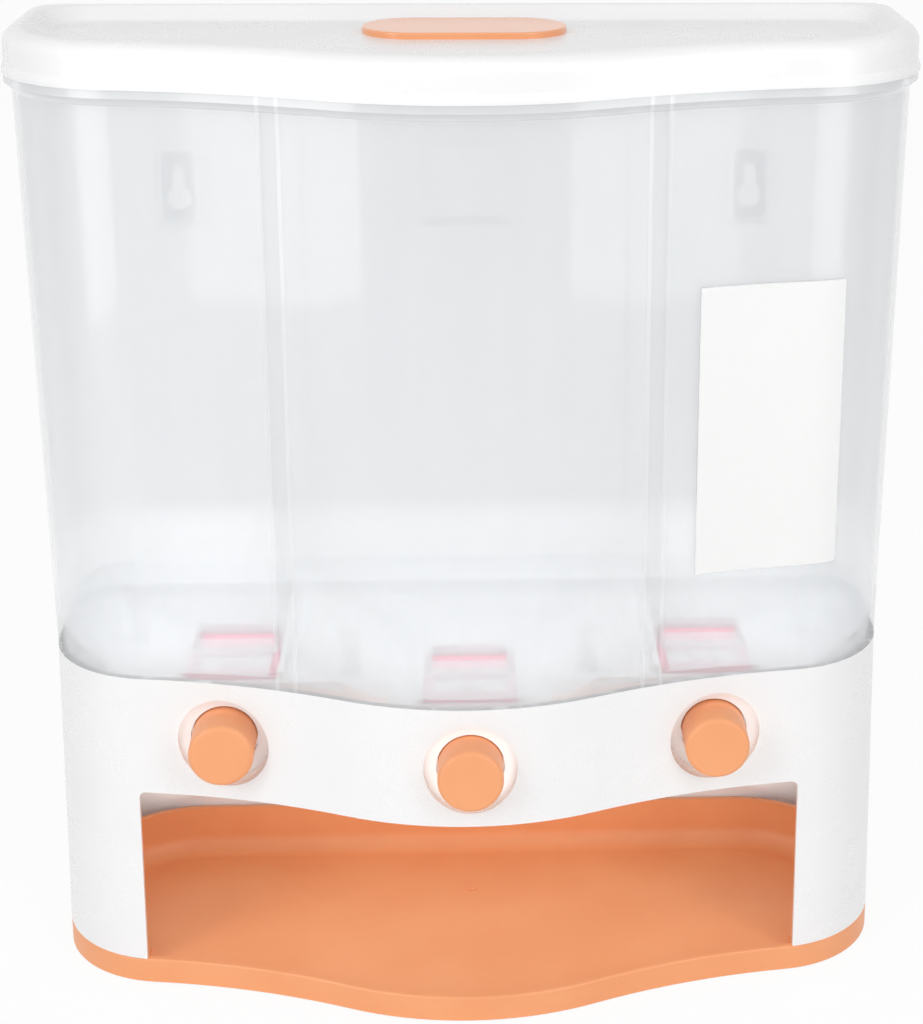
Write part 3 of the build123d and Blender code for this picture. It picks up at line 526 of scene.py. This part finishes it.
@dataclass(frozen=True)
class DrawnSteel(Finish):
    """Steel wire or a plated screw, with fine marks along one direction."""

    colour: Colour
    dull_colour: Colour
    roughness: float
    streak: Streak = Streak.NONE
    mark_size: float = 0.25 * MM
    mark_roughness: float = 0.2
    mark_depth: float = 0.006
    stain_size: float = 3 * MM
    stain_starts: float = 0.45
    stain_ends: float = 0.8
    stain_roughness: float = 0.15

    def shade(self, sheet: NodeSheet) -> Field:
        """Draw the metal.

        Args:
            sheet: Node tree that the finish is drawn in.

        Returns:
            The shader.
        """
        marks = sheet.noise(self.mark_size, detail=2.0, streak=self.streak)
        stain = sheet.noise(self.stain_size, detail=2.0)
        patches = sheet.steps(stain, self.stain_starts, self.stain_ends)
        mark_gloss = sheet.swing(marks, self.mark_roughness)
        stain_gloss = sheet.swing(stain, self.stain_roughness)
        sockets = {
            "Base Color": sheet.blend(patches, self.colour, self.dull_colour),
            "Metallic": 1.0,
            "Roughness": self.roughness + mark_gloss + stain_gloss,
            "Normal": sheet.relief(marks * self.mark_depth),
        }
        return sheet.field("ShaderNodeBsdfPrincipled", None, sockets)


@dataclass(frozen=True)
class CoatedPaper(Finish):
    """Satin label paper: fibres under a thin coating."""

    colour: Colour
    fibre_colour: Colour
    roughness: float = 0.55
    fibre_size: float = 0.6 * MM
    fibre_share: float = 0.8
    fibre_roughness: float = 0.15
    fibre_depth: float = 0.01
    cockle_size: float = 18 * MM
    cockle_depth: float = 0.05

    def shade(self, sheet: NodeSheet) -> Field:
        """Draw the paper.

        Args:
            sheet: Node tree that the finish is drawn in.

        Returns:
            The shader.
        """
        fibres = sheet.noise(self.fibre_size, detail=3.0)
        cockle = sheet.noise(self.cockle_size)
        sockets = {
            "Base Color": sheet.blend(fibres * self.fibre_share, self.colour, self.fibre_colour),
            "Roughness": self.roughness + sheet.swing(fibres, self.fibre_roughness),
            "Normal": sheet.relief(fibres * self.fibre_depth + cockle * self.cockle_depth),
        }
        return sheet.field("ShaderNodeBsdfPrincipled", None, sockets)


@dataclass(frozen=True)
class PaleFloor(Finish):
    """Pale studio floor, lifted towards white as the camera sees it, that keeps shadows."""

    colour: Colour
    speck_colour: Colour
    lift: float
    roughness: float = 0.8
    speck_size: float = 2 * MM
    speck_share: float = 0.3

    def shade(self, sheet: NodeSheet) -> Field:
        """Draw the floor.

        Args:
            sheet: Node tree that the finish is drawn in.

        Returns:
            The shader.
        """
        specks = sheet.noise(self.speck_size, detail=2.0)
        sockets = {
            "Base Color": sheet.blend(specks * self.speck_share, self.colour, self.speck_colour),
            "Roughness": self.roughness,
        }
        surface = sheet.field("ShaderNodeBsdfPrincipled", None, sockets)
        glow = sheet.field("ShaderNodeEmission", None, {"Strength": 1.0})
        sockets = {0: seen_directly(sheet) * self.lift, 1: surface, 2: glow}
        return sheet.field("ShaderNodeMixShader", None, sockets)


def seen_directly(sheet: NodeSheet) -> Field:
    """Tell the rays that show the surroundings from those that only light the dispenser.

    Args:
        sheet: Node tree that the mask is drawn in.

    Returns:
        1 for rays from the camera, from glossy surfaces and through clear ones, and else 0.
    """
    rays = sheet.node("ShaderNodeLightPath")
    camera = Field(sheet, rays.outputs["Is Camera Ray"])
    glossy = Field(sheet, rays.outputs["Is Glossy Ray"])
    through = Field(sheet, rays.outputs["Is Transmission Ray"])
    return sheet.field("ShaderNodeClamp", None, {"Value": camera + glossy + through})


@dataclass(frozen=True)
class Palette:
    """Every finish of the dispenser, as built materials."""

    white: bpy.types.Material
    orange: bpy.types.Material
    polished_orange: bpy.types.Material
    rose: bpy.types.Material
    frosted: bpy.types.Material
    milky_rubber: bpy.types.Material
    foot_rubber: bpy.types.Material
    spring_steel: bpy.types.Material
    zinc: bpy.types.Material
    paper: bpy.types.Material

    @classmethod
    def mix(cls) -> "Palette":
        """Build all the finishes.

        Returns:
            The palette.
        """
        orange = display(246, 168, 116)
        orange_flow = display(243, 162, 110)
        finishes = {
            "white": MouldedPlastic(
                "white_plastic", display(246, 246, 246), display(244, 244, 245), roughness=0.28
            ),
            "orange": MouldedPlastic("orange_plastic", orange, orange_flow, roughness=0.42),
            "polished_orange": MouldedPlastic(
                "polished_orange", orange, orange_flow, roughness=0.26, coat=0.5
            ),
            "rose": MouldedPlastic(
                "rose_plastic", display(236, 118, 150), display(231, 110, 142), roughness=0.4
            ),
            "frosted": FrostedPlastic(
                "frosted_plastic", display(239, 242, 245), display(243, 245, 247),
                opacity=0.36, roughness=0.35,
            ),
            "milky_rubber": SoftRubber(
                "milky_rubber", display(238, 238, 236), display(228, 228, 226),
                roughness=0.5, opacity=0.4,
            ),
            "foot_rubber": SoftRubber("foot_rubber", display(112, 112, 112), display(138, 138, 136)),
            "spring_steel": DrawnSteel(
                "spring_steel", display(205, 206, 208), display(176, 176, 176), roughness=0.3
            ),
            "zinc": DrawnSteel(
                "zinc_plate", display(218, 219, 214), display(188, 190, 188),
                roughness=0.28, streak=Streak.ALONG_Y,
            ),
            "paper": CoatedPaper("label_paper", display(246, 246, 246), display(239, 239, 238)),
        }
        return cls(**{name: finish.material() for name, finish in finishes.items()})


@dataclass
class SubAssembly:
    """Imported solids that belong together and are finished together."""

    nodes: Mapping[str, bpy.types.Object]
    palette: Palette

    def paint(self, node: str, material: bpy.types.Material) -> None:
        """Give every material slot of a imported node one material.

        Args:
            node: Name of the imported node.
            material: Its finish.
        """
        mesh = self.nodes[node].data
        if not mesh.materials:
            mesh.materials.append(material)
        for index in range(len(mesh.materials)):
            mesh.materials[index] = material
        LOG.info("%s is finished in %s", node, material.name)

    def dress(self) -> None:
        """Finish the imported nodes; each sub-assembly has its own."""
        raise NotImplementedError


@dataclass
class BaseTray(SubAssembly):
    """Tray under the serving bay, with its feet and screws."""

    def dress(self) -> None:
        """Finish the tray in orange, its feet in rubber and its screws in zinc."""
        self.paint("base_tray", self.palette.orange)
        self.paint("rubber_feet", self.palette.foot_rubber)
        self.paint("base_screws", self.palette.zinc)


@dataclass
class Housing(SubAssembly):
    """White sleeve round the serving bay, and the deck and chutes that hang inside it."""

    def dress(self) -> None:
        """Finish the housing, its deck and its chutes in white."""
        self.paint("housing", self.palette.white)
        self.paint("deck", self.palette.white)
        self.paint("deck_screws", self.palette.zinc)
        for station in STATIONS:
            self.paint("chute_" + station, self.palette.white)


@dataclass
class Tank(SubAssembly):
    """Frosted container with its outlet seals and its blank label."""

    def dress(self) -> None:
        """Finish the container, the seals and the label."""
        self.paint("container", self.palette.frosted)
        self.paint("outlet_seals", self.palette.milky_rubber)
        self.paint("label", self.palette.paper)


@dataclass
class Lid(SubAssembly):
    """Lift-off lid with its seal and its grip."""

    def dress(self) -> None:
        """Finish the lid, its seal and its grip."""
        self.paint("lid", self.palette.white)
        self.paint("lid_seal", self.palette.milky_rubber)
        self.paint("lid_grip", self.palette.polished_orange)


@dataclass
class PushStation(SubAssembly):
    """One push button with its sliding gate and its return spring.

    The spring is wound from round wire round the gate's rod. Its ends are closed, one against the
    inside of the button and one against the deck's bulkhead.
    """

    station: str
    travel: float = 12 * MM
    wire: float = 1.2 * MM
    open_turns: float = 6.0
    closed_turns: float = 1.25
    wire_sides: int = 12
    steps_per_turn: int = 32

    def dress(self) -> None:
        """Finish the button in orange and the gate in rose."""
        self.paint("button_" + self.station, self.palette.orange)
        self.paint("gate_" + self.station, self.palette.rose)

    def build(self) -> bpy.types.Object:
        """Wind the return spring in place of its sleeve.

        Returns:
            The coil.
        """
        sleeve = "spring_" + self.station
        low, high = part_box(sleeve)
        coil = self._wind(sleeve + "_coil", low, high)
        coil.data.materials.append(self.palette.spring_steel)
        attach(coil, "cabinet")
        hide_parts(sleeve)
        length = high.y - low.y
        "button_" + self.station + "_press"
        (length - self.travel) / length
        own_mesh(coil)
        LOG.info("%s is wound in %.1f turns", coil.name, self.open_turns + 2 * self.closed_turns)
        return coil

    def _open_share(self, turn: float) -> float:
        """Return how much of the spring's open part lies behind a turn.

        Args:
            turn: Turns wound so far.

        Returns:
            Share of the open turns, from 0 where they start to 1 where they end.
        """
        share = (turn - self.closed_turns) / self.open_turns
        return min(1.0, max(0.0, share))

    def _wind(self, name: str, low: Vector, high: Vector) -> bpy.types.Object:
        """Sweep round wire along the spring's helix.

        Args:
            name: Name of the new piece.
            low: Lowest corner of the sleeve.
            high: Highest corner of the sleeve.

        Returns:
            The coil.
        """
        half_wire = self.wire / 2
        radius = (high.x - low.x) / 2 - half_wire
        centre = (low + high) / 2
        turns = self.open_turns + 2 * self.closed_turns
        end_starts = self.closed_turns + self.open_turns
        start = low.y + half_wire
        closed = self.closed_turns * self.wire
        opened = (high.y - low.y - self.wire) - 2 * closed
        mesh = bmesh.new()
        rings = []
        for step in range(int(turns * self.steps_per_turn) + 1):
            turn = step / self.steps_per_turn
            closed_so_far = min(turn, self.closed_turns) + max(0.0, turn - end_starts)
            y = start + closed_so_far * self.wire + self._open_share(turn) * opened
            outward = Vector((math.cos(math.tau * turn), 0.0, math.sin(math.tau * turn)))
            middle = Vector((centre.x, y, centre.z)) + outward * radius
            rings.append(self._ring(mesh, middle, outward, half_wire))
        for first, second in zip(rings, rings[1:]):
            for side in range(self.wire_sides):
                after = (side + 1) % self.wire_sides
                mesh.faces.new((first[side], first[after], second[after], second[side])).smooth = True
        mesh.faces.new(rings[0])
        mesh.faces.new(tuple(reversed(rings[-1])))
        bmesh.ops.recalc_face_normals(mesh, faces=mesh.faces)
        data = bpy.data.meshes.new(name)
        mesh.to_mesh(data)
        mesh.free()
        coil = bpy.data.objects.new(name, data)
        bpy.context.scene.collection.objects.link(coil)
        return coil

    def _ring(
        self, mesh: bmesh.types.BMesh, middle: Vector, outward: Vector, radius: float
    ) -> tuple[bmesh.types.BMVert, ...]:
        """Add one ring of the wire.

        Args:
            mesh: Mesh that the ring goes into.
            middle: Centre of the wire there.
            outward: Direction from the spring's axis to the wire.
            radius: Half of the wire's thickness.

        Returns:
            The ring's points in order.
        """
        along = Vector((0.0, 1.0, 0.0))
        points = []
        for side in range(self.wire_sides):
            angle = math.tau * side / self.wire_sides
            offset = outward * math.cos(angle) + along * math.sin(angle)
            points.append(mesh.verts.new(middle + offset * radius))
        return tuple(points)


@dataclass
class Softbox:
    """Soft flat lamp that hangs away from a point and faces it.

    The bearing runs from the front to the right, and the rise from level to straight above. With
    no distance the lamp hangs at the point itself and shines the same way.
    """

    name: str
    aim: Point
    width: float
    tall: float
    radiance: float
    bearing: float = 0.0
    rise: float = 0.0
    distance: float = 0.0
    mirrored: bool = True
    diffuse: bool = True
    outline: Outline = Outline.BOX

    def build(self) -> bpy.types.Object:
        """Hang the lamp and turn it to its point.

        Returns:
            The lamp.
        """
        bearing = math.radians(self.bearing)
        rise = math.radians(self.rise)
        away = Vector(
            (math.sin(bearing) * math.cos(rise), -math.cos(bearing) * math.cos(rise), math.sin(rise))
        )
        light = bpy.data.lights.new(self.name, "AREA")
        light.shape = self.outline.value
        light.size = self.width
        light.size_y = self.tall
        area = self.width * self.tall
        if self.outline is Outline.ROUND:
            area *= math.pi / 4
        light.energy = self.radiance * math.pi * area
        lamp = bpy.data.objects.new(self.name, light)
        lamp.location = Vector(self.aim) + away * self.distance
        lamp.rotation_euler = away.to_track_quat("Z", "Y").to_euler()
        lamp.visible_camera = False
        lamp.visible_glossy = self.mirrored
        lamp.visible_diffuse = self.diffuse
        bpy.context.scene.collection.objects.link(lamp)
        LOG.info("%s hangs at %.0f degrees", self.name, self.bearing)
        return lamp


@dataclass
class Studio:
    """Floor, surroundings and lamps."""

    floor_size: float = 9.0
    floor_cells: int = 8
    floor_lift: float = 0.93
    ambient: float = 0.52
    corner_reach: float = 124 * MM
    corner_back: float = 44 * MM
    corner_level: float = 36 * MM
    corner_turn: float = 30.0
    hopper_reach: float = 102 * MM
    hopper_back: float = 24 * MM
    hopper_level: float = 158 * MM
    seat_depth: float = 11.5 * MM
    seat_gap: float = 4.0 * MM
    seat_radiance: float = 0.42

    def lay_floor(self) -> bpy.types.Object:
        """Lay the pale floor.

        Returns:
            The floor, which isn't part of the dispenser.
        """
        mesh = bmesh.new()
        cells = self.floor_cells
        bmesh.ops.create_grid(mesh, x_segments=cells, y_segments=cells, size=self.floor_size / 2)
        data = bpy.data.meshes.new("studio_floor")
        mesh.to_mesh(data)
        mesh.free()
        finish = PaleFloor("pale_floor", display(246, 246, 246), display(236, 236, 236), self.floor_lift)
        data.materials.append(finish.material())
        floor = bpy.data.objects.new("studio_floor", data)
        bpy.context.scene.collection.objects.link(floor)
        LOG.info("floor is %.0f m wide", self.floor_size)
        return floor

    def surround(self) -> None:
        """Light the surroundings softly, and show them white to the camera and to gloss."""
        world = bpy.data.worlds.new("studio_surroundings")
        bpy.context.scene.world = world
        sheet = NodeSheet(world)
        strength = self.ambient + seen_directly(sheet) * (1 - self.ambient)
        sockets = {"Color": display(255, 255, 255), "Strength": strength}
        glow = sheet.field("ShaderNodeBackground", None, sockets)
        sheet.finish(glow, "ShaderNodeOutputWorld")

    def hang_lamps(self) -> None:
        """Hang the softboxes and stand the strips that the container mirrors."""
        middle = (0, 0, 0.12)
        bay = (0, 0, 0.08)
        above = (0, 0, 0.2)
        tank = (0, 0, 0.26)
        for lamp in (
            Softbox(
                "left_softbox", middle, bearing=-46, rise=31, distance=2.2,
                width=0.8, tall=1.3, radiance=3.5,
            ),
            Softbox(
                "right_softbox", middle, bearing=40, rise=31, distance=2.2,
                width=0.8, tall=1.3, radiance=2.7,
            ),
            Softbox(
                "front_softbox", bay, rise=16, distance=1.2,
                width=0.8, tall=0.4, radiance=1.3, mirrored=False,
            ),
            Softbox(
                "top_softbox", above, rise=62, distance=1.6,
                width=1.2, tall=0.6, radiance=0.9,
            ),
            Softbox(
                "left_strip", tank, bearing=-50, distance=0.6,
                width=0.24, tall=0.32, radiance=2.4, diffuse=False,
            ),
            Softbox(
                "right_strip", tank, bearing=50, distance=0.6,
                width=0.24, tall=0.32, radiance=2.0, diffuse=False,
            ),
        ):
            lamp.build()

    def hang_glows(self) -> None:
        """Put soft glows where the pale plastics of the real dispenser let light through."""
        for glow in self._bay_glows() + self._seat_glows() + self._hopper_glows():
            glow.build()

    def _bay_glows(self) -> list[Softbox]:
        """Plan the lamps of the serving bay.

        Returns:
            One at its ceiling, one at its back wall and one in each rear corner.
        """
        ceiling = (0, 0.015, 0.084)
        wall = (0, 0.045, 0.03)
        glows = [
            Softbox(
                "bay_glow", ceiling, rise=90,
                width=0.23, tall=0.062, radiance=0.68, mirrored=False,
            ),
            Softbox("wall_glow", wall, width=0.22, tall=0.03, radiance=0.1, mirrored=False),
        ]
        for name, side, radiance in (("left", -1, 1.3), ("right", 1, 1.2)):
            corner = (side * self.corner_reach, self.corner_back, self.corner_level)
            glow = Softbox(
                "corner_glow_" + name, corner, bearing=-side * self.corner_turn, rise=-60,
                width=0.03, tall=0.02, radiance=radiance, mirrored=False,
            )
            glows.append(glow)
        return glows

    def _seat_glows(self) -> list[Softbox]:
        """Plan the round lamps of the button seats.

        Returns:
            One in each seat, a little wider than the button there.
        """
        glows = []
        for station in STATIONS:
            low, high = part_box("button_" + station)
            middle = (low + high) / 2
            seat = (middle.x, low.y + self.seat_depth, middle.z)
            width = high.x - low.x + 2 * self.seat_gap
            glow = Softbox(
                "seat_glow_" + station, seat, width=width, tall=width,
                radiance=self.seat_radiance, mirrored=False, outline=Outline.ROUND,
            )
            glows.append(glow)
        return glows

    def _hopper_glows(self) -> list[Softbox]:
        """Plan the lamps that light the hopper floors.

        Returns:
            One over each hopper, facing down.
        """
        middle = (0, 0.013, self.hopper_level)
        glows = [
            Softbox(
                "hopper_glow_middle", middle, rise=90,
                width=0.125, tall=0.08, radiance=1.6, mirrored=False,
            )
        ]
        for name, side, radiance in (("left", -1, 2.8), ("right", 1, 2.7)):
            hopper = (side * self.hopper_reach, self.hopper_back, self.hopper_level)
            glow = Softbox(
                "hopper_glow_" + name, hopper, rise=90,
                width=0.062, tall=0.056, radiance=radiance, mirrored=False,
            )
            glows.append(glow)
        return glows


@dataclass
class PictureCamera:
    """Camera at the photograph's place, with the photograph's framing.

    The axis pixel is where the line of sight meets the picture, counted from its top left corner.
    """

    place: Point = (0.00009, -0.79736, 0.47569)
    pitch: float = 16.505
    heading: float = 2.699
    roll: float = 0.286
    focal_pixels: float = 2329.0
    axis_pixel: tuple[float, float] = (572.5, 344.4)
    nearest: float = 0.05

    def build(self) -> bpy.types.Object:
        """Set up the camera and make it the scene's own.

        Returns:
            The camera.
        """
        data = bpy.data.cameras.new("picture_camera")
        data.sensor_fit = "HORIZONTAL"
        data.sensor_width = SENSOR_WIDTH
        data.lens = self.focal_pixels / IMAGE_WIDTH * SENSOR_WIDTH
        data.shift_x = (IMAGE_WIDTH / 2 - self.axis_pixel[0]) / IMAGE_WIDTH
        data.shift_y = (self.axis_pixel[1] - IMAGE_HEIGHT / 2) / IMAGE_WIDTH
        data.clip_start = self.nearest
        camera = bpy.data.objects.new("picture_camera", data)
        turn = Matrix.Rotation(-math.radians(self.heading), 4, "Z")
        tilt = Matrix.Rotation(math.radians(90 - self.pitch), 4, "X")
        roll = Matrix.Rotation(math.radians(self.roll), 4, "Z")
        camera.matrix_world = Matrix.Translation(self.place) @ turn @ tilt @ roll
        bpy.context.scene.collection.objects.link(camera)
        bpy.context.scene.camera = camera
        LOG.info("camera has a lens of %.1f mm", data.lens)
        return camera


def main() -> None:
    """Build and dress the dispenser, then set up its studio."""
    logging.basicConfig(level=logging.INFO, format="%(name)s: %(message)s")
    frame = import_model()
    nodes = frame["nodes"]
    bpy.context.scene.view_settings.view_transform = "Standard"

    PictureCamera().build()
    palette = Palette.mix()
    for assembly in (BaseTray, Housing, Tank, Lid):
        assembly(nodes, palette).dress()
    for station in STATIONS:
        push_station = PushStation(nodes, palette, station)
        push_station.dress()
        push_station.build()

    studio = Studio()
    studio.lay_floor()
    studio.surround()
    studio.hang_lamps()
    studio.hang_glows()


if __name__ == "__main__":
    main()
